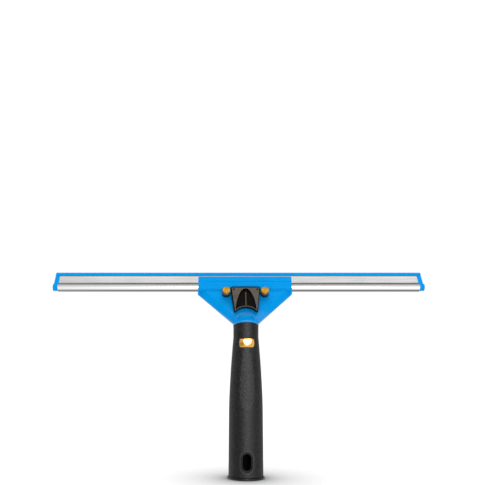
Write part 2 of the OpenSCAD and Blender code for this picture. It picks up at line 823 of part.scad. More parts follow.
// Round wire swept along a route
module wire(route, d, sides = 6) {
    last = len(route) - 1;
    loft([for (k = [0:last])
        let(ahead = route[min(k + 1, last)] - route[max(k - 1, 0)],
            dir = ahead / norm(ahead),
            side = cross(dir, [1, 0, 0]),
            u = side / norm(side),
            n = cross(u, dir))
        [for (i = [0:sides - 1]) route[k] + d / 2 * (u * cos(360 * i / sides) + n * sin(360 * i / sides))]]);
}

module lever_spring(side) {
    color([0.6, 0.61, 0.63]) on_head() flipped(side) wire(spring_route(), wire_d);
}

module lever_spring_left() { lever_spring(-1); }
module lever_spring_right() { lever_spring(1); }

// ---- channel and rubber ----

// Takes off both ends at a slant that starts from the round part's middle
module slanted_ends(half, slant) {
    for (side = [-1, 1]) flipped(side)
        translate([half, bulge_v, 0]) rotate([0, 0, slant])
            translate([0, -far / 2, -far / 2]) cube([far, far, far]);
}

module channel() {
    half = channel_len / 2;
    color([0.78, 0.79, 0.8]) on_head() translate([-channel_shift, 0, 0]) difference() {
        channel_bar(half, lips_v);
        bar(bulge_r - sheet_t, -half - 1, half + 1, bulge_v, 0);
        translate([-half - 1, bulge_v, -lips_t / 2 + sheet_t])
            cube([channel_len + 2, far, lips_t - 2 * sheet_t]);
        slanted_ends(half, atan2(channel_rake, lips_v - bulge_v));
    }
}

module rubber_blade() {
    half = bead_len / 2;
    neck_half = web_t / 2 - 0.3;
    out_half = blade_t / 2;
    color([0.0, 0.5, 0.82]) on_head() translate([-channel_shift, 0, 0]) difference() {
        union() {
            bar(bead_r, -half, half, bulge_v, 0);
            along_x(half) polygon([
                [bulge_v, -web_t / 2], [lips_v - 0.4, -web_t / 2], [lips_v, -neck_half],
                [lips_v + rubber_recess * 0.5, -neck_half], [lips_v + rubber_recess, -out_half],
                [blade_top, -out_half], [blade_top, out_half],
                [lips_v + rubber_recess, out_half], [lips_v + rubber_recess * 0.5, neck_half],
                [lips_v, neck_half], [lips_v - 0.4, web_t / 2], [bulge_v, web_t / 2]
            ]);
        }
        slanted_ends(half, atan2(rubber_rake, blade_top - bulge_v));
    }
}

handle_core();
grip_sleeve();
neck_post();
neck_screw();
front_shell();
rear_shell();
collar_left();
collar_right();
stud_post_left();
stud_post_right();
rear_screw_left();
rear_screw_right();
lever_pin_left();
lever_pin_right();
lever_spring_left();
lever_spring_right();
release_lever();
channel();
rubber_blade();
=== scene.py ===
"""Looks of a window cleaning squeegee, laid over its packed construction model.

The construction model is the fixed frame. The camera, the floor and the lights come first, then the
finishes, then the pieces, each of which stands for one construction node and rides on its body.
Lengths on the tool are written in millimetres, and MM turns them into metres. Those of the camera,
the lights and the floor are in metres.
"""

import math

import bmesh
import bpy
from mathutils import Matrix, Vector

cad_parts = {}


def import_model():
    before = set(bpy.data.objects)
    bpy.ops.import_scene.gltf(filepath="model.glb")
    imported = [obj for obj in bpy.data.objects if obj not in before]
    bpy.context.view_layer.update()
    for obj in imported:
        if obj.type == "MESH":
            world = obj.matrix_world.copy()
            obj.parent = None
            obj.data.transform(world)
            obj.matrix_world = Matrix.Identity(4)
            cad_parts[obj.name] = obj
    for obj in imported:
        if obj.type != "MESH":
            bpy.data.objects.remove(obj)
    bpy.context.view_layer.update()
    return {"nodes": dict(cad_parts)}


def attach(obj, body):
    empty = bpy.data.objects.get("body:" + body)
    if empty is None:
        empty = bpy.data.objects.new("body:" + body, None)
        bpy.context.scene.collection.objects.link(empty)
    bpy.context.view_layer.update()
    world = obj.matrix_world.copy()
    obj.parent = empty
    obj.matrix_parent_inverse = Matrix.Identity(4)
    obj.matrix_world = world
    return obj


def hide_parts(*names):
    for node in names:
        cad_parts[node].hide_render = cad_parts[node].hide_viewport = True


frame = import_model()
bpy.ops.object.select_all(action="DESELECT")

MM = 0.001


# ---- sizes of the tool, in millimetres ----

# The head's own axes start at the joint: U across, V up its slope, W out to the front
JOINT = 143.7
LEAN = math.radians(24)
SIN, COS = math.sin(LEAN), math.cos(LEAN)
OUT = Vector((0, -COS, SIN))
# How far the rim between handle and head slopes down to the back
RIM_TILT = math.radians(15.6)
# The turned pieces of the handle are drawn up to here, then cut off at the rim
ROUGH_TOP = 155

# Flange at the foot: its top, radius and rounding
FLANGE_TOP, FLANGE_R, FLANGE_ROUND = 2.0, 17.8, 0.9
# Outside of the grip: radius at its foot, where its taper starts, and at the neck
FOOT_R, GRIP_R, NECK_R = 16.5, 15.95, 11.8
# The taper: where it starts, how long it is, and how strongly it curves
TAPER_Z, TAPER_LEN, TAPER_POWER = 64.0, 69.0, 1.5
# The thumb scoop: its depth by height, its radius across, and how soft its edge is
SCOOP = [(66.0, 0.0), (69.0, 0.34), (73.0, 0.56), (79.0, 0.74), (86.0, 0.84), (93.0, 0.84),
         (98.0, 0.72), (104.0, 0.50), (110.0, 0.40), (116.0, 0.28), (123.0, 0.0)]
SCOOP_ACROSS, SCOOP_SOFT = 26.0, 0.10
# Radius and height of the wall between grip and core, of the neck's seat and of the pole socket
CORE_SECTION = [(13.5, FLANGE_TOP), (13.5, 58), (10.2, 94), (10.3, 110.3), (10.3, ROUGH_TOP)]
NECK_SEAT = [(8.55, ROUGH_TOP), (8.55, 118.3), (0, 118.3)]
POLE_SOCKET = [(0, 108), (7.6, 108), (8.6, 107), (11.4, 58), (11.4, 28), (11.9, 27)]
SOCKET_MOUTH = [(11.9, 0.4), (12.3, 0)]

# Upright slot near the foot: middle height, width, height, and its bevel's width and depth
SLOT_Z, SLOT_W, SLOT_H = 16.7, 7.8, 15.6
SLOT_BEVEL, SLOT_BEVEL_DEPTH = 2.5, 1.7
# Length of the slot's straight sides
SLOT_RUN = SLOT_H - SLOT_W

# Brass stud in the neck: height of its axis, radius, height between its flats, and its crown
NECK_STUD_Z, NECK_STUD_R, NECK_STUD_H, CROWN = 127.4, 7.4, 8.0, 0.6
# Its shank, the depth where its head starts, and the well of the screw behind it
SHANK_R, HEAD_FOOT, WELL_R = 3.6, 8.6, 3.9
# Room round the stud in its openings
FREE = 0.05
# Cutters reach this far, which is beyond the handle's surface
BEYOND = 30

# The two studs on the head: distance from the middle and place up the slope
STUD_X, STUD_V = 18.4, 32.2
SIDES = {-1: "left", 1: "right"}
# Radius of the round cut-out at the lever's foot, and its middle up the slope
CUTOUT_R = 12.25
CUTOUT_V = 15.4 - CUTOUT_R

# The blade sits to the left of the middle by this much
SHIFT = -6.0
# Half the length of the channel and of the rubber
CHANNEL_HALF, RUBBER_HALF = 175.0, 179.75
# Round part of the channel: place up the slope, radius, and the sheet's thickness
BULGE_V, BULGE_R, SHEET = 42.1, 4.2, 0.6
# Its lips: width over both, end up the slope, and the curve that leads into them
LIPS, LIPS_V, ROOT = 3.5, 54.2, 0.7
# How far in the upper corners of the channel and of the rubber lie
CHANNEL_RAKE, RUBBER_RAKE = 1.3, 1.9


def head(u, v, w):
    """Point on the leaning head, from millimetres along its own axes."""
    return Vector((u, v * SIN - w * COS, JOINT + v * COS + w * SIN)) * MM


def up(x, y, z):
    """Point of the upright handle, in millimetres."""
    return Vector((x, y, z)) * MM


def arc(middle, radius, start, stop, steps=8):
    """Points of a circle's arc in a section, from one angle to another in degrees."""
    turns = [math.radians(start + (stop - start) * i / steps) for i in range(steps + 1)]
    return [(middle[0] + radius * math.cos(t), middle[1] + radius * math.sin(t)) for t in turns]


# ---- nodes ----

class Signal:
    """A shader socket that takes part in plain arithmetic: each operator adds one Math node."""

    def __init__(self, tree, socket):
        self.tree = tree
        self.socket = socket

    def maths(self, operation, *values):
        """One Math node on signals, numbers or both."""
        return add_node(self.tree, "ShaderNodeMath", {"operation": operation},
                        dict(enumerate(values)))

    def __add__(self, other):
        return self.maths("ADD", self, other)

    def __radd__(self, other):
        return self.maths("ADD", other, self)

    def __sub__(self, other):
        return self.maths("SUBTRACT", self, other)

    def __rsub__(self, other):
        return self.maths("SUBTRACT", other, self)

    def __mul__(self, other):
        return self.maths("MULTIPLY", self, other)

    def __rmul__(self, other):
        return self.maths("MULTIPLY", other, self)

    def __truediv__(self, other):
        return self.maths("DIVIDE", self, other)

    def __pow__(self, other):
        return self.maths("POWER", self, other)

    def __gt__(self, other):
        return self.maths("GREATER_THAN", self, other)

    def __lt__(self, other):
        return self.maths("LESS_THAN", self, other)

    def at_least(self, lowest):
        return self.maths("MAXIMUM", self, lowest)

    def root(self):
        return self.maths("SQRT", self)

    def size(self):
        return self.maths("ABSOLUTE", self)

    def wave(self):
        return self.maths("SINE", self)


def fill(tree, socket, value):
    """Gives a socket a link, a colour or a number."""
    if isinstance(value, Signal):
        tree.links.new(value.socket, socket)
    elif isinstance(value, tuple):
        socket.default_value = (*value, 1)
    else:
        socket.default_value = value


def add_node(tree, kind, settings=None, sockets=None, output=0):
    """Adds any node: its settings are set first, then the values or links of its sockets."""
    node = tree.nodes.new(kind)
    for name, value in (settings or {}).items():
        if name == "stops":
            ramp = node.color_ramp.elements
            while len(ramp) < len(value):
                ramp.new(0.5)
            for stop, (position, shade) in zip(ramp, value):
                stop.position = position
                stop.color = (shade, shade, shade, 1)
        else:
            setattr(node, name, value)
    for name, value in (sockets or {}).items():
        fill(tree, node.inputs[name], value)
    return Signal(tree, node.outputs[output])


def split(tree, vector):
    """The three parts of a vector."""
    first = add_node(tree, "ShaderNodeSeparateXYZ", None, {"Vector": vector})
    return [Signal(tree, socket) for socket in first.socket.node.outputs]


def place(tree):
    """Object coordinates: the point itself and its three parts, in metres."""
    point = add_node(tree, "ShaderNodeTexCoord", output=3)
    return point, split(tree, point)


def head_place(tree):
    """Object coordinates and the head's own axes, in metres: across, up the slope, out."""
    point, (x, y, z) = place(tree)
    rise = z - JOINT * MM
    return point, (x, y * SIN + rise * COS, rise * SIN - y * COS)


def away(a, b):
    """Distance of a point from its middle, from two parts."""
    return (a * a + b * b).root()


def mix(tree, amount, a, b):
    """Colour between a and b."""
    return add_node(tree, "ShaderNodeMix", {"data_type": "RGBA"}, {0: amount, 6: a, 7: b}, 2)


def ease(tree, value, start, stop, most=1.0):
    """Rises softly from 0 to most as a value goes from start to stop, which may be the lower."""
    return add_node(tree, "ShaderNodeMapRange", {"interpolation_type": "SMOOTHSTEP"},
                    {"Value": value, "From Min": start, "From Max": stop, "To Max": most})


def stretch(tree, value):
    """Spreads the middle of a speckle, where most of it lies, over 0 to 1."""
    return add_node(tree, "ShaderNodeMapRange", None,
                    {"Value": value, "From Min": 0.36, "From Max": 0.64})


def speckle(tree, point, grain, detail=2.0):
    """Soft random grain with cells of the given size in millimetres."""
    return add_node(tree, "ShaderNodeTexNoise", None,
                    {"Vector": point, "Scale": 1 / (grain * MM), "Detail": detail})


def bump(tree, height, strength, distance):
    """Dents and bumps of a height signal, for a relief of the given millimetres."""
    return add_node(tree, "ShaderNodeBump", None,
                    {"Height": height, "Strength": strength, "Distance": distance * MM})


# ---- camera, floor and light ----

# Brightness of the studio by elevation: 0 level in front, 90 straight up, 180 level behind
STUDIO_ZONES = [
    (-180, 0.5), (-120, 0.2), (-78, 0.2), (-52, 1.0), (19, 1.0), (32, 0.3), (44, 0.28),
    (47, 0.96), (62, 0.96), (67, 0.25), (72, 0.2), (130, 0.2), (180, 0.5)]
# Brightness of its flanks, from straight down to straight up
SIDE_ZONES = [(0.0, 0.4), (0.4, 0.3), (0.46, 0.06), (0.6, 0.1), (0.8, 0.5), (1.0, 0.3)]
# The flanks grow in to either side of a middle that is a little to the right
FLANK_MIDDLE, FLANK_START, FLANK_FULL = 0.22, 0.25, 0.85
# White in the flanks behind the tool, which lights its rims: where it grows in, and its share
BACK_START, BACK_FULL, BACK_GLOW = -0.2, 0.35, 0.5
# How far the floor feels the tool, how strongly, and its own brightness
FLOOR_REACH, FLOOR_DEPTH, FLOOR_WHITE = 0.11, 2.8, 1.12


def camera():
    """Looks level at the tool from in front, shifted up so that upright lines stay upright."""
    distance, height = 0.650, 0.110
    aside, centre = 0.040, -0.0032
    frame_width = 0.4588
    data = bpy.data.cameras.new("camera")
    data.sensor_width = 36
    data.lens = data.sensor_width * distance / frame_width
    data.shift_x = aside / frame_width
    data.shift_y = 0.2458
    data.clip_start = 0.01
    cam = bpy.data.objects.new("camera", data)
    cam.location = (centre - aside, -distance, height)
    cam.rotation_euler = (math.pi / 2, 0, 0)
    bpy.context.scene.collection.objects.link(cam)
    bpy.context.scene.camera = cam


def area_light(name, place, aim, width, height, power, shape="RECTANGLE"):
    """Soft box at a place, turned towards a point."""
    data = bpy.data.lights.new(name, "AREA")
    data.shape = shape
    data.size = width
    data.size_y = height
    data.energy = power
    light = bpy.data.objects.new(name, data)
    light.location = place
    light.rotation_euler = (Vector(aim) - Vector(place)).to_track_quat("-Z", "Y").to_euler()
    bpy.context.scene.collection.objects.link(light)
    return light


def share(angle):
    """Place of an elevation angle on the ramp, which runs from -180 to 180 degrees."""
    return angle / 360 + 0.5


def world():
    """White to the camera, and a studio of soft bright and dark zones to all that reflects it."""
    surroundings = bpy.data.worlds.new("studio")
    surroundings.use_nodes = True
    tree = surroundings.node_tree
    tree.nodes.remove(tree.nodes["Background"])
    east, north, rise = split(tree, add_node(tree, "ShaderNodeTexCoord"))

    # turn up from level in front, on over the top and down the back
    elevation = rise.maths("ARCTAN2", rise, 0 - north)
    stops = [(share(angle), shade) for angle, shade in STUDIO_ZONES]
    zones = add_node(tree, "ShaderNodeValToRGB", {"stops": stops},
                     {"Fac": elevation / (2 * math.pi) + 0.5})
    beside = ease(tree, (east - FLANK_MIDDLE).size(), FLANK_START, FLANK_FULL)
    flanks = add_node(tree, "ShaderNodeValToRGB", {"stops": SIDE_ZONES}, {"Fac": rise * 0.5 + 0.5})
    behind = ease(tree, north, BACK_START, BACK_FULL, BACK_GLOW)
    flanks = mix(tree, behind, flanks, (1.0, 1.0, 1.0))

    studio = add_node(tree, "ShaderNodeBackground", None,
                      {"Color": mix(tree, beside, zones, flanks), "Strength": 1.0})
    white = add_node(tree, "ShaderNodeBackground", None,
                     {"Color": (1.0, 1.0, 1.0), "Strength": 1.0})
    seen = add_node(tree, "ShaderNodeLightPath")
    both = add_node(tree, "ShaderNodeMixShader", None, {0: seen, 1: studio, 2: white})
    fill(tree, tree.nodes["World Output"].inputs["Surface"], both)
    bpy.context.scene.world = surroundings


def floor():
    """Plain pale floor: white away from the tool, darker where the tool hides the sky from it."""
    bpy.ops.mesh.primitive_plane_add(size=12, location=(0, 0, -0.0001))
    plane = bpy.context.object
    plane.name = "floor"
    material = bpy.data.materials.new("floor_paint")
    material.use_nodes = True
    tree = material.node_tree
    tree.nodes.remove(tree.nodes["Principled BSDF"])
    open_sky = add_node(tree, "ShaderNodeAmbientOcclusion", {"samples": 16},
                        {"Distance": FLOOR_REACH}, 1)
    glow = add_node(tree, "ShaderNodeEmission", None,
                    {"Color": (1.0, 1.0, 1.0), "Strength": FLOOR_WHITE * open_sky ** FLOOR_DEPTH})
    fill(tree, tree.nodes["Material Output"].inputs["Surface"], glow)
    plane.data.materials.append(material)
    plane.visible_glossy = False
    plane.select_set(False)


camera()
world()
floor()
top_light = area_light("top", place=(0, -0.21, 1.19), aim=(0, 0, 0.19), width=1.4, height=0.34,
                       power=8.5)
top_light.visible_glossy = False
area_light("front", place=(0.13, -1.25, 0.27), aim=(0, 0, 0.13), width=0.42, height=0.42,
           power=3.8, shape="DISK")
bpy.context.scene.view_settings.view_transform = "Standard"
bpy.context.scene.view_settings.look = "None"


# ---- finishes ----

SOCKETS = {
    "colour": "Base Color", "rough": "Roughness", "metal": "Metallic", "normal": "Normal",
    "coat": "Coat Weight", "coat_rough": "Coat Roughness", "specular": "Specular IOR Level"}

# The flange's gloss stops at this radius, inside the core's outer wall, and the painted shade
# inside the socket starts there
GLOSS_AND_SHADE_R = 13.2
# Between these places down the slope, the neck of the head turns glossy
GLOSS_END, GLOSS_FULL = 16, 9
# Between these places out from the head, a collar gets a painted grey highlight where it meets its
# cap
COLLAR_BLACK, COLLAR_GREY = 9.4, 10.9
# Distance between the turned rings of a cap
RING_PITCH = 0.32
# Painted dark reflection on the neck stud: its middle, and where it starts and is full
PAINTED_DARK_X, PAINTED_DARK_Z, PAINTED_DARK_EDGE, PAINTED_DARK_FULL = -4.4, NECK_STUD_Z - 1.0, 4.0, 1.4
# Up the channel's slope: the round part painted brighter as a painted highlight, a painted
# highlight line on the lips, and the lip edge painted darker as painted shade
BRIGHT_END, BRIGHT_FULL = 45.5, 43
HIGHLIGHT_LOW, HIGHLIGHT_HIGH, EDGE_V = 52.0, 53.1, 53.2
# The steel's streaks are this share as wide as they are long
STREAK = 0.012
# The lever's rubbed places and its painted highlight: lip round the cut-out, which gets a painted
# highlight, rib, level of the proud face, and upper rim
LIP_WIDTH, RIB_HALF, RIB_END, RIB_LEVEL = 1.05, 0.75, 31, 10.2
FACE_DARK, FACE_RUBBED, UPPER_RIM = 10.28, 10.45, 36.0


def finish(name):
    """New material and its nodes, which start with one principled shader."""
    material = bpy.data.materials.new(name)
    material.use_nodes = True
    return material, material.node_tree


def paint(material, **values):
    """Sets or links the sockets of a finish's shader, and hands the material back."""
    tree = material.node_tree
    for name, value in values.items():
        fill(tree, tree.nodes["Principled BSDF"].inputs[SOCKETS[name]], value)
    return material


def grip_finish():
    """Matt black rubber with a moulded grain, and a painted highlight along the slot's outer edge.
    """
    material, tree = finish("grip_black")
    point, (x, y, z) = place(tree)
    grain = speckle(tree, point, 1.0, 3)
    cloud = speckle(tree, point, 8)
    blotch = stretch(tree, speckle(tree, point, 1.7))
    tone = blotch * 0.5 + grain * 0.3 + cloud * 0.2
    colour = mix(tree, tone, (0.0, 0.0, 0.0), (0.016, 0.016, 0.0165))
    beyond = ((z - SLOT_Z * MM).size() - SLOT_RUN / 2 * MM).at_least(0)
    off = (away(x, beyond) - (SLOT_W / 2 + SLOT_BEVEL) * MM).size()
    # painted highlight: the slot's outer edge is painted lighter at the front
    edge = ease(tree, off, 0.55 * MM, 0.15 * MM) * (y < 0)
    colour = mix(tree, edge * (0.4 + 0.6 * grain), colour, (0.05, 0.05, 0.051))
    return paint(material, colour=colour, rough=0.34 + 0.2 * grain, specular=0.5,
                 normal=bump(tree, grain + blotch * 0.6, 0.8, 0.22))


def core_finish():
    """Hard black plastic, glossy on its flange, dull inside the socket and painted darker there as
    painted shade.
    """
    material, tree = finish("core_black")
    point, (x, y, _) = place(tree)
    grain = speckle(tree, point, 0.6)
    # painted shade: the inside of the socket is painted darker
    inside = away(x, y) < GLOSS_AND_SHADE_R * MM
    colour = mix(tree, grain, (0.003, 0.003, 0.003), (0.010, 0.010, 0.0105))
    return paint(material, colour=mix(tree, inside, colour, (0.0005, 0.0005, 0.0005)),
                 rough=0.5 + 0.1 * grain, specular=0.05, coat=1 - 0.97 * inside,
                 coat_rough=0.25, normal=bump(tree, grain, 0.15, 0.1))


def blue_finish():
    """Blue plastic: deep on the flat faces, with a gloss where the neck of the head curves."""
    material, tree = finish("blue_gloss")
    point, (_, slope, _) = head_place(tree)
    cloud = speckle(tree, point, 14)
    ripple = speckle(tree, point, 4, 1)
    grain = speckle(tree, point, 0.5)
    colour = mix(tree, cloud * 0.7 + grain * 0.3, (0.0, 0.250, 0.65), (0.0, 0.290, 0.73))
    low = ease(tree, slope, GLOSS_END * MM, GLOSS_FULL * MM)
    return paint(material, colour=colour, rough=0.12 + 0.08 * cloud, specular=0.05,
                 coat=low * (0.8 + 0.2 * cloud), coat_rough=0.1,
                 normal=bump(tree, ripple + 0.15 * grain, 0.06, 0.3))


def black_finish():
    """Glossy black plastic, with a painted grey highlight where a collar meets its cap."""
    material, tree = finish("black_gloss")
    point, (_, _, out) = head_place(tree)
    grain = speckle(tree, point, 1.1)
    colour = mix(tree, grain, (0.006, 0.006, 0.006), (0.014, 0.013, 0.012))
    # painted highlight: the collar is painted grey near its cap
    painted_highlight = ease(tree, out + grain * (1.2 * MM), COLLAR_BLACK * MM, COLLAR_GREY * MM)
    colour = mix(tree, painted_highlight * 0.9, colour, (0.12, 0.115, 0.11))
    return paint(material, colour=colour, rough=0.22 + 0.12 * grain, specular=0.5,
                 normal=bump(tree, grain, 0.06, 0.1))


def cap_finish():
    """Turned brass: fine rings about each stud, painted darker in the cuts as painted shade."""
    material, tree = finish("turned_brass")
    point, (across, slope, _) = head_place(tree)
    distance = away(across.size() - STUD_X * MM, slope - STUD_V * MM)
    grain = speckle(tree, point, 0.5)
    rings = (distance * (2 * math.pi / (RING_PITCH * MM)) + grain * 3).wave() * 0.5 + 0.5
    # painted shade: the colour darkens in the cuts between the rings
    colour = mix(tree, rings * 0.5 + grain * 0.5, (0.78, 0.36, 0.02), (1.0, 0.54, 0.08))
    return paint(material, colour=colour, rough=0.12 + 0.1 * grain, metal=1.0,
                 normal=bump(tree, rings, 0.35, 0.05))


def polished_finish():
    """Polished brass with faint waves in its crown and one painted dark reflection on it."""
    material, tree = finish("polished_brass")
    point, (x, _, z) = place(tree)
    wave = speckle(tree, point, 4.5, 1)
    grain = speckle(tree, point, 0.4)
    colour = mix(tree, grain, (0.68, 0.33, 0.04), (0.84, 0.46, 0.09))
    # painted dark reflection: a dark patch left of the crown's middle
    distance = away(x - PAINTED_DARK_X * MM, z - PAINTED_DARK_Z * MM) + wave * (1.5 * MM)
    painted_dark_reflection = ease(tree, distance, PAINTED_DARK_EDGE * MM, PAINTED_DARK_FULL * MM)
    colour = mix(tree, painted_dark_reflection * 0.85, colour, (0.30, 0.14, 0.012))
    return paint(material, colour=colour, rough=0.04 + 0.04 * grain, metal=1.0, coat=1.0,
                 coat_rough=0.05, normal=bump(tree, wave, 0.13, 0.6))


def steel_finish(name, light, dark, rough):
    """Steel of the small hidden pieces: two close tones and a roughness that vary with a grain."""
    material, tree = finish(name)
    grain = speckle(tree, place(tree)[0], 0.4)
    return paint(material, colour=mix(tree, grain, dark, light), rough=rough + 0.1 * grain,
                 metal=1.0)


def channel_finish():
    """Rolled and polished steel: faint long streaks that drift slowly along its length, a painted
    highlight on the round part and on a line of the lips, and painted shade on the lip edge.
    """
    material, tree = finish("polished_channel")
    point, (across, slope, out) = head_place(tree)
    along = add_node(tree, "ShaderNodeCombineXYZ", None,
                     {"X": across * STREAK, "Y": slope, "Z": out})
    lines = speckle(tree, along, 0.45, 3)
    drift = speckle(tree, point, 26)
    tone = stretch(tree, lines * 0.75 + drift * 0.25)
    colour = mix(tree, tone, (0.62, 0.62, 0.615), (0.86, 0.86, 0.855))
    # painted highlight: the round part is painted brighter
    bright = ease(tree, slope, BRIGHT_END * MM, BRIGHT_FULL * MM)
    colour = mix(tree, bright, colour, (1.0, 1.0, 0.995))
    # painted highlight: a bright line painted along the lips
    painted_highlight = (slope > HIGHLIGHT_LOW * MM) * (slope < HIGHLIGHT_HIGH * MM)
    colour = mix(tree, painted_highlight * tone, colour, (0.92, 0.92, 0.91))
    # painted shade: the lip edge is painted darker
    edge = (slope > EDGE_V * MM) * (0.5 + 0.5 * tone)
    colour = mix(tree, edge, colour, (0.40, 0.39, 0.38))
    return paint(material, colour=colour, rough=0.10 + 0.10 * lines, metal=1.0,
                 normal=bump(tree, lines, 0.12, 0.04))


def rubber_finish():
    """Smooth blue rubber, a little uneven in tone."""
    material, tree = finish("blue_rubber")
    grain = speckle(tree, place(tree)[0], 0.8)
    colour = mix(tree, grain, (0.0, 0.26, 0.67), (0.0, 0.305, 0.76))
    return paint(material, colour=colour, rough=0.4 + 0.1 * grain, specular=0.05,
                 normal=bump(tree, grain, 0.1, 0.1))


def lever_finish():
    """Black plastic whose proud front face and rib are rubbed to a brownish grey, and whose lower
    lip gets the same brownish grey as a painted highlight.
    """
    material, tree = finish("lever_black")
    point, (across, slope, out) = head_place(tree)
    grain = speckle(tree, point, 0.8, 3)
    cloud = speckle(tree, point, 5)
    # painted highlight: the lip round the cut-out gets the rubbed face's colour
    lip = away(across, slope - CUTOUT_V * MM) < (CUTOUT_R + LIP_WIDTH) * MM
    rib = (across.size() < RIB_HALF * MM) * (slope < RIB_END * MM)
    top = slope > UPPER_RIM * MM
    # the rib is rubbed although it lies lower, the lip gets the same brownish grey as a painted
    # highlight although it lies lower, and the upper rim stays black
    level = out + grain * (0.3 * MM) + rib * (0.34 * MM) + lip * (0.4 * MM) - top * (2 * MM)
    wear_and_highlight = ease(tree, level, FACE_DARK * MM, FACE_RUBBED * MM)
    face = mix(tree, grain * 0.6 + cloud * 0.4, (0.055, 0.045, 0.037), (0.135, 0.115, 0.097))
    face = mix(tree, rib * (out < RIB_LEVEL * MM), face, (0.06, 0.042, 0.026))
    dark = mix(tree, grain, (0.0, 0.0, 0.0), (0.005, 0.0045, 0.004))
    return paint(material, colour=mix(tree, wear_and_highlight, dark, face), rough=0.34 + 0.12 * grain,
                 specular=0.1, coat=wear_and_highlight * 0.1, coat_rough=0.25,
                 normal=bump(tree, grain, 0.12, 0.1))


# ---- modelling ----

# Points nearer than this, in millimetres, are one point
SAME = 0.001
# Edges sharper than this stay sharp in the shading, in degrees
SHARP = 32


def begin(name, at):
    """New piece in edit mode, holding one vertex."""
    bpy.ops.object.select_all(action="DESELECT")
    bpy.ops.mesh.primitive_plane_add(size=MM)
    piece = bpy.context.object
    piece.name = piece.data.name = name
    bpy.ops.object.mode_set(mode="EDIT")
    bpy.ops.mesh.merge(type="CENTER")
    bpy.ops.transform.translate(value=at)
    return piece


def trace(points):
    """Pulls the selected vertex from point to point, which leaves a chain of edges."""
    for last, point in zip(points, points[1:]):
        bpy.ops.mesh.extrude_vertices_move(TRANSFORM_OT_translate={"value": point - last})


def close(piece):
    """Merges doubles, turns every face outwards and leaves edit mode."""
    bpy.ops.mesh.select_mode(type="VERT")
    bpy.ops.mesh.select_all(action="SELECT")
    bpy.ops.mesh.remove_doubles(threshold=SAME * MM)
    bpy.ops.mesh.normals_make_consistent(inside=False)
    bpy.ops.object.mode_set(mode="OBJECT")
    return piece


def lathe(name, section, at, middle, axis, steps=96, ring=False):
    """Turned piece: a section of radius and height, traced in place and spun about an axis."""
    points = [at(r, h) for r, h in section]
    piece = begin(name, points[0])
    trace(points + points[:1] if ring else points)
    bpy.ops.mesh.select_all(action="SELECT")
    bpy.ops.mesh.spin(steps=steps, angle=2 * math.pi, center=middle, axis=axis)
    return close(piece)


def block(name, points, run):
    """Solid with a traced outline, drawn out along a run."""
    piece = begin(name, points[0])
    trace(points)
    bpy.ops.mesh.select_all(action="SELECT")
    bpy.ops.mesh.edge_face_add()
    bpy.ops.mesh.extrude_region_move(TRANSFORM_OT_translate={"value": run})
    return close(piece)


def tapered(name, low, high):
    """Solid between two outlines with the same number of points."""
    piece = begin(name, low[0])
    trace(low + low[:1])
    bpy.ops.mesh.select_all(action="SELECT")
    bpy.ops.mesh.remove_doubles(threshold=SAME * MM)
    bpy.ops.mesh.edge_face_add()
    shift = high[0] - low[0]
    bpy.ops.mesh.extrude_region_move(TRANSFORM_OT_translate={"value": shift})
    mesh = bmesh.from_edit_mesh(piece.data)
    for vertex in [v for v in mesh.verts if v.select]:
        start = min(range(len(low)), key=lambda i: (low[i] + shift - vertex.co).length)
        vertex.co = high[start]
    bmesh.update_edit_mesh(piece.data)
    return close(piece)


def use(piece):
    """Makes a piece the only selected and the active one."""
    bpy.ops.object.select_all(action="DESELECT")
    piece.select_set(True)
    bpy.context.view_layer.objects.active = piece


def modify(piece, kind, **settings):
    """Adds one modifier and applies it."""
    use(piece)
    modifier = piece.modifiers.new(kind, kind)
    for name, value in settings.items():
        setattr(modifier, name, value)
    bpy.ops.object.modifier_apply(modifier=modifier.name)


def carve(piece, *cutters):
    """Cuts solids out of a piece and clears them away."""
    for cutter in cutters:
        modify(piece, "BOOLEAN", object=cutter, operation="DIFFERENCE", solver="EXACT")
        bpy.data.objects.remove(cutter)
    return piece


def round_off(piece, width, segments=2, angle=35):
    """Rounds every edge that is sharper than an angle, by a width in millimetres."""
    modify(piece, "BEVEL", width=width * MM, segments=segments, limit_method="ANGLE",
           angle_limit=math.radians(angle), use_clamp_overlap=True, harden_normals=False,
           miter_outer="MITER_ARC")
    return piece


def rake(piece, inset, top):
    """Slants both ends of a bar from its round part up, to an inset at the top of its slope."""
    slant = inset / (top - BULGE_V)
    for vertex in piece.data.vertices:
        x, y, z = vertex.co
        slope = y * SIN + (z - JOINT * MM) * COS
        vertex.co.x -= math.copysign(max(0, slope - BULGE_V * MM) * slant, x - SHIFT * MM)
    split_ends(piece)


def split_ends(piece):
    """Turns the many-sided faces of a bar's two ends, which are no longer flat, into triangles."""
    use(piece)
    bpy.ops.object.mode_set(mode="EDIT")
    bpy.ops.mesh.select_mode(type="FACE")
    bpy.ops.mesh.select_all(action="DESELECT")
    mesh = bmesh.from_edit_mesh(piece.data)
    for face in mesh.faces:
        if len(face.verts) > 4:
            face.select_set(True)
    bmesh.update_edit_mesh(piece.data)
    bpy.ops.mesh.quads_convert_to_tris(ngon_method="BEAUTY")
    close(piece)


def dress(piece, body, material, nodes):
    """Smooths a finished piece, gives it its finish, and hands it to the body that carries it."""
    use(piece)
    bpy.ops.object.shade_smooth_by_angle(angle=math.radians(SHARP))
    modify(piece, "WEIGHTED_NORMAL", keep_sharp=True)
    piece.data.materials.clear()
    piece.data.materials.append(material)
    piece.select_set(False)
    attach(piece, body)
    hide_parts(*nodes)


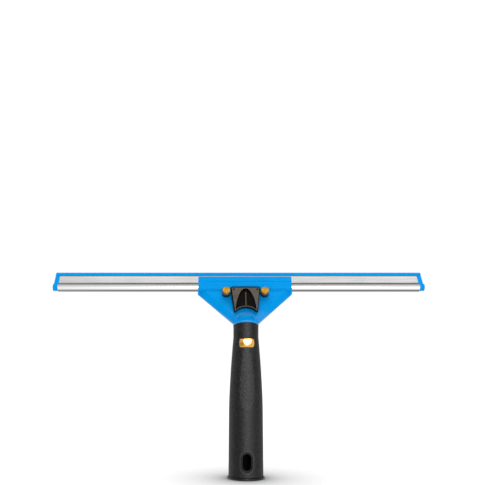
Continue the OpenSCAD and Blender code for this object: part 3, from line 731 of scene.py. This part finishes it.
def copy_of(node, name):
    """Piece that starts from a construction solid, with its loose triangles merged."""
    piece = bpy.data.objects.new(name, frame["nodes"][node].data.copy())
    piece.data.name = name
    bpy.context.scene.collection.objects.link(piece)
    use(piece)
    bpy.ops.mesh.customdata_custom_splitnormals_clear()
    bpy.ops.object.mode_set(mode="EDIT")
    bpy.ops.mesh.select_all(action="SELECT")
    bpy.ops.mesh.remove_doubles(threshold=2 * SAME * MM)
    bpy.ops.mesh.dissolve_limited(angle_limit=math.radians(0.5))
    bpy.ops.object.mode_set(mode="OBJECT")
    return piece


# ---- handle ----

def grip_radius(z):
    """Radius of the grip's outside at a height."""
    if z >= TAPER_Z + TAPER_LEN:
        return NECK_R
    if z <= TAPER_Z:
        return FOOT_R + (GRIP_R - FOOT_R) * (z - FLANGE_TOP) / (TAPER_Z - FLANGE_TOP)
    return GRIP_R - (GRIP_R - NECK_R) * ((z - TAPER_Z) / TAPER_LEN) ** TAPER_POWER


def scoop_depth(z):
    """Depth of the thumb scoop at a height, in a straight line between its listed places."""
    for (low, start), (high, stop) in zip(SCOOP, SCOOP[1:]):
        if low <= z <= high:
            return start + (stop - start) * (z - low) / (high - low)
    return 0


def rim_wedge():
    """Everything above the sloping rim between handle and head."""
    back = Vector((0, math.cos(RIM_TILT), -math.sin(RIM_TILT)))
    corners = ((-BEYOND, -BEYOND), (BEYOND, -BEYOND), (BEYOND, BEYOND), (-BEYOND, BEYOND))
    low = [up(x, 0, JOINT) + back * (y * MM) for x, y in corners]
    return block("rim_wedge", low, up(0, 40 * math.sin(RIM_TILT), 40))


def slot_outline(half_w, y, steps=16):
    """Upright outline with round ends, for the slot, at a depth in the handle."""
    ends = arc((0, SLOT_RUN / 2), half_w, 0, 180, steps)
    ends += arc((0, -SLOT_RUN / 2), half_w, 180, 360, steps)
    return [up(x, y, SLOT_Z + z) for x, z in ends]


def slot_cutter():
    """The slot, from the handle's axis to beyond its front."""
    return block("slot_cutter", slot_outline(SLOT_W / 2, 0), up(0, -BEYOND, 0))


def slot_bevel():
    """The bevel round the slot's outer edge, drawn on past the surface of the grip."""
    past = 1
    surface = grip_radius(SLOT_Z)
    spread = (SLOT_BEVEL_DEPTH + past) * SLOT_BEVEL / SLOT_BEVEL_DEPTH
    inner = slot_outline(SLOT_W / 2 - 0.02, -surface + SLOT_BEVEL_DEPTH, 24)
    outer = slot_outline(SLOT_W / 2 + spread, -surface - past, 24)
    return tapered("slot_bevel", inner, outer)


def stud_window():
    """Opening for the neck stud's head: a disc cut flat above and below."""
    radius = NECK_STUD_R + FREE
    turn = math.degrees(math.asin((NECK_STUD_H / 2 + FREE) / radius))
    ends = arc((0, 0), radius, -turn, turn, 10) + arc((0, 0), radius, 180 - turn, 180 + turn, 10)
    return block("stud_window", [up(x, -9.0, NECK_STUD_Z + z) for x, z in ends], up(0, -10, 0))


def stud_bore(name, radius, start, stop):
    """Round hole along the neck stud's axis, from one depth in the handle to another."""
    circle = arc((0, 0), radius, 0, 360, 40)[:-1]
    return block(name, [up(x, start, NECK_STUD_Z + z) for x, z in circle], up(0, stop - start, 0))


def press_scoop(piece):
    """Presses the front of the grip in to the scoop's floor, with a soft edge round it."""
    for vertex in piece.data.vertices:
        x, y, z = (value / MM for value in vertex.co)
        depth, radius = scoop_depth(z), grip_radius(z)
        if depth == 0 or y > -5 or math.hypot(x, y) < radius - 0.3:
            continue
        bowl = depth - radius + x * x / (2 * SCOOP_ACROSS)
        vertex.co.y = (y + bowl + math.sqrt((bowl - y) ** 2 + SCOOP_SOFT ** 2)) / 2 * MM


def grip():
    """Hollow grip: rounded foot, tapered neck, thumb scoop, bevelled slot and stud window."""
    foot, step = 0.5, 1.5
    outside = [(FOOT_R - foot, FLANGE_TOP)]
    outside += arc((FOOT_R - foot, FLANGE_TOP + foot), foot, -60, 0, 2)
    heights = [FLANGE_TOP + foot + i * step for i in range(1, 98)]
    outside += [(grip_radius(z), z) for z in heights] + [(NECK_R, ROUGH_TOP)]
    piece = lathe("grip", outside + CORE_SECTION[::-1], lambda r, z: up(0, r, z), (0, 0, 0),
                  (0, 0, 1), 144, ring=True)
    press_scoop(piece)
    return carve(piece, rim_wedge(), slot_cutter(), slot_bevel(), stud_window(),
                 stud_bore("screw_well", WELL_R, 0, 20))


def core():
    """Inner tube with its foot flange, the pole socket below and the neck's seat above."""
    middle = FLANGE_R - FLANGE_ROUND
    section = SOCKET_MOUTH + arc((middle, FLANGE_ROUND), FLANGE_ROUND, -90, 0, 6)
    section += arc((middle, FLANGE_TOP - FLANGE_ROUND), FLANGE_ROUND, 0, 90, 6)
    section += CORE_SECTION + NECK_SEAT + POLE_SOCKET
    piece = lathe("core", section, lambda r, z: up(0, r, z), (0, 0, 0), (0, 0, 1), 128, ring=True)
    return carve(piece, rim_wedge(), slot_cutter(), stud_window(),
                 stud_bore("stud_bore", SHANK_R + FREE, 6.05, -12),
                 stud_bore("screw_well", WELL_R, 8, 20))


def neck_stud():
    """Crowned brass head, cut flat above and below, on its shank."""
    dome = (NECK_STUD_R ** 2 + CROWN ** 2) / (2 * CROWN)
    face = NECK_R - 0.5
    turn = math.degrees(math.asin((NECK_STUD_R - 0.25) / dome))
    section = [(0, -6), (SHANK_R, -6), (SHANK_R, HEAD_FOOT), (NECK_STUD_R, HEAD_FOOT),
               (NECK_STUD_R, face - CROWN - 0.15)]
    section += [(r, h) for h, r in arc((face - dome, 0), dome, turn, 0, 14)]
    piece = lathe("neck_stud", section, lambda r, h: up(r, -h, NECK_STUD_Z),
                  up(0, 0, NECK_STUD_Z), (0, -1, 0))
    for sign in (1, -1):
        level = NECK_STUD_Z + sign * NECK_STUD_H / 2
        corners = ((-20, -BEYOND), (20, -BEYOND), (20, -HEAD_FOOT), (-20, -HEAD_FOOT))
        carve(piece, block("stud_flat", [up(x, y, level) for x, y in corners], up(0, 0, sign * 20)))
    return round_off(piece, 0.25, 3, 40)


# ---- channel and rubber ----

def both_faces(front, back):
    """Closed section: a front line, and the line that its back is the mirror of."""
    return front + [(v, -w) for v, w in reversed(back)]


def bar(name, section, half):
    """Straight bar with a section on the head's slope, to both sides of the blade's middle."""
    return block(name, [head(-half + SHIFT, v, w) for v, w in section], up(2 * half, 0, 0))


def channel():
    """Rolled channel: round part, hollow curve and two lips, with a slot for the rubber."""
    tip = 0.2
    root_w = LIPS / 2 + ROOT
    root_v = BULGE_V + math.sqrt((BULGE_R + ROOT) ** 2 - root_w ** 2)
    meet = math.degrees(math.atan2(root_w, root_v - BULGE_V))
    outside = arc((BULGE_V, 0), BULGE_R, 180, meet, 40)
    outside += arc((root_v, root_w), ROOT, meet - 180, -90, 8)[1:]
    outside += arc((LIPS_V - tip, LIPS / 2 - tip), tip, 90, 0, 3)
    inner_w, inner_r = LIPS / 2 - SHEET, BULGE_R - SHEET
    open_at = math.degrees(math.asin(inner_w / inner_r))
    inside = [(LIPS_V, inner_w), (BULGE_V + 8, inner_w)]
    inside += arc((BULGE_V, 0), inner_r, open_at, 180, 30)
    front = outside + inside
    piece = bar("channel_bar", both_faces(front, front[1:-1]), CHANNEL_HALF)
    rake(piece, CHANNEL_RAKE, LIPS_V)
    return piece


def rubber():
    """Rubber blade: bead, web, shoulder over the lips, and a wiping edge rounded in front."""
    bead, web, thick, top = 3.5, 1.1, 1.6, 58.1
    side = arc((BULGE_V, 0), bead, 180, math.degrees(math.asin(web / bead)), 24)
    side += [(LIPS_V - 0.4, web), (LIPS_V, web - 0.3), (LIPS_V + 0.45, web - 0.3)]
    side += arc((LIPS_V + 1.15, thick - 0.25), 0.25, 180, 90, 4)
    front = side + arc((top - 0.8, thick - 0.8), 0.8, 90, 0, 8)
    back = side[1:] + [(top - 0.1, thick), (top, thick - 0.1)]
    piece = bar("rubber", both_faces(front, back), RUBBER_HALF)
    rake(piece, RUBBER_RAKE, top)
    return piece


# ---- studs ----

def head_lathe(name, side, section, ring=False):
    """Turned piece about the axis of one of the head's two studs."""
    at = side * STUD_X
    return lathe(name + SIDES[side], section, lambda r, w: head(at + r, STUD_V, w),
                 head(at, STUD_V, 0), OUT, 64, ring)


def collar(side):
    """Black collar with a fine groove and a rounded shoulder under the cap."""
    section = [(2.05, 4.5), (4.0, 4.5), (4.1, 4.6), (4.1, 9.9), (4.0, 10.0), (4.0, 10.15),
               (4.1, 10.25)]
    section += arc((3.7, 10.7), 0.4, 0, 90, 5) + [(2.05, 11.1)]
    return head_lathe("stud_collar_", side, section, ring=True)


def stud(side):
    """Brass stud: post with a bore for its screw, and a cap with a ring and a dot turned in it."""
    top = 12.3
    post = [(0, 3), (1.45, 3), (1.45, -2), (2, -2), (2, 11.1)]
    cap = [(3.4, 11.1), (3.6, 11.25)] + arc((3.3, top - 0.3), 0.3, 0, 90, 5)
    face = [(2.4, top), (2.3, top - 0.12), (1.2, top - 0.15), (1.1, top - 0.05), (0.9, top),
            (0.35, top), (0.25, top - 0.1), (0, top - 0.1)]
    return head_lathe("stud_", side, post + cap + face)


def rear_screw(side):
    """Hex socket screw that holds a stud from the back."""
    seat, socket_r = -2.5, 1.3
    low = seat - 1.8
    section = [(0, low), (2.6, low)] + arc((2.6, low + 0.3), 0.3, -90, 0, 4)
    section += [(2.9, seat), (1.4, seat), (1.4, 1.7), (1.1, 2), (0, 2)]
    piece = head_lathe("back_screw_", side, section)
    hexagon = [head(side * STUD_X + u, STUD_V + v, low - 1)
               for u, v in arc((0, 0), socket_r, 0, 300, 5)]
    return carve(piece, block("hex_socket", hexagon, OUT * (2.2 * MM)))


# ---- the whole tool ----

GRIP, CORE, BLUE, BLACK = grip_finish(), core_finish(), blue_finish(), black_finish()
CAP, POLISHED, CHANNEL = cap_finish(), polished_finish(), channel_finish()
RUBBER, LEVER = rubber_finish(), lever_finish()
SCREW = steel_finish("plated_steel", (0.62, 0.62, 0.63), (0.5, 0.5, 0.51), 0.25)
SPRING = steel_finish("spring_wire", (0.5, 0.5, 0.52), (0.38, 0.38, 0.4), 0.3)
# near-black steel for the lever pins
PIN = steel_finish("near_black_steel", (0.05, 0.05, 0.052), (0.02, 0.02, 0.021), 0.3)

dress(grip(), "handle", GRIP, ["grip_sleeve"])
dress(core(), "handle", CORE, ["handle_core"])
dress(neck_stud(), "handle", POLISHED, ["neck_post"])
dress(channel(), "blade", CHANNEL, ["channel"])
dress(rubber(), "blade", RUBBER, ["rubber_blade"])
for side, word in SIDES.items():
    dress(collar(side), "handle", BLACK, ["collar_" + word])
    dress(stud(side), "handle", CAP, ["stud_post_" + word])
    dress(rear_screw(side), "handle", SCREW, ["rear_screw_" + word])
for node, name in (("front_shell", "head_front"), ("rear_shell", "head_back")):
    shell = round_off(copy_of(node, name), 0.25, angle=22)
    dress(shell, "handle", BLUE, [node])
lever = round_off(copy_of("release_lever", "lever"), 0.15)
dress(lever, "lever", LEVER, ["release_lever"])

# Construction nodes that stay as they are and only get their finish
CARRIED_OVER = {
    "neck_screw": SCREW, "lever_pin_left": PIN, "lever_pin_right": PIN,
    "lever_spring_left": SPRING, "lever_spring_right": SPRING}
for name, material in CARRIED_OVER.items():
    mesh = frame["nodes"][name].data
    mesh.materials.clear()
    mesh.materials.append(material)
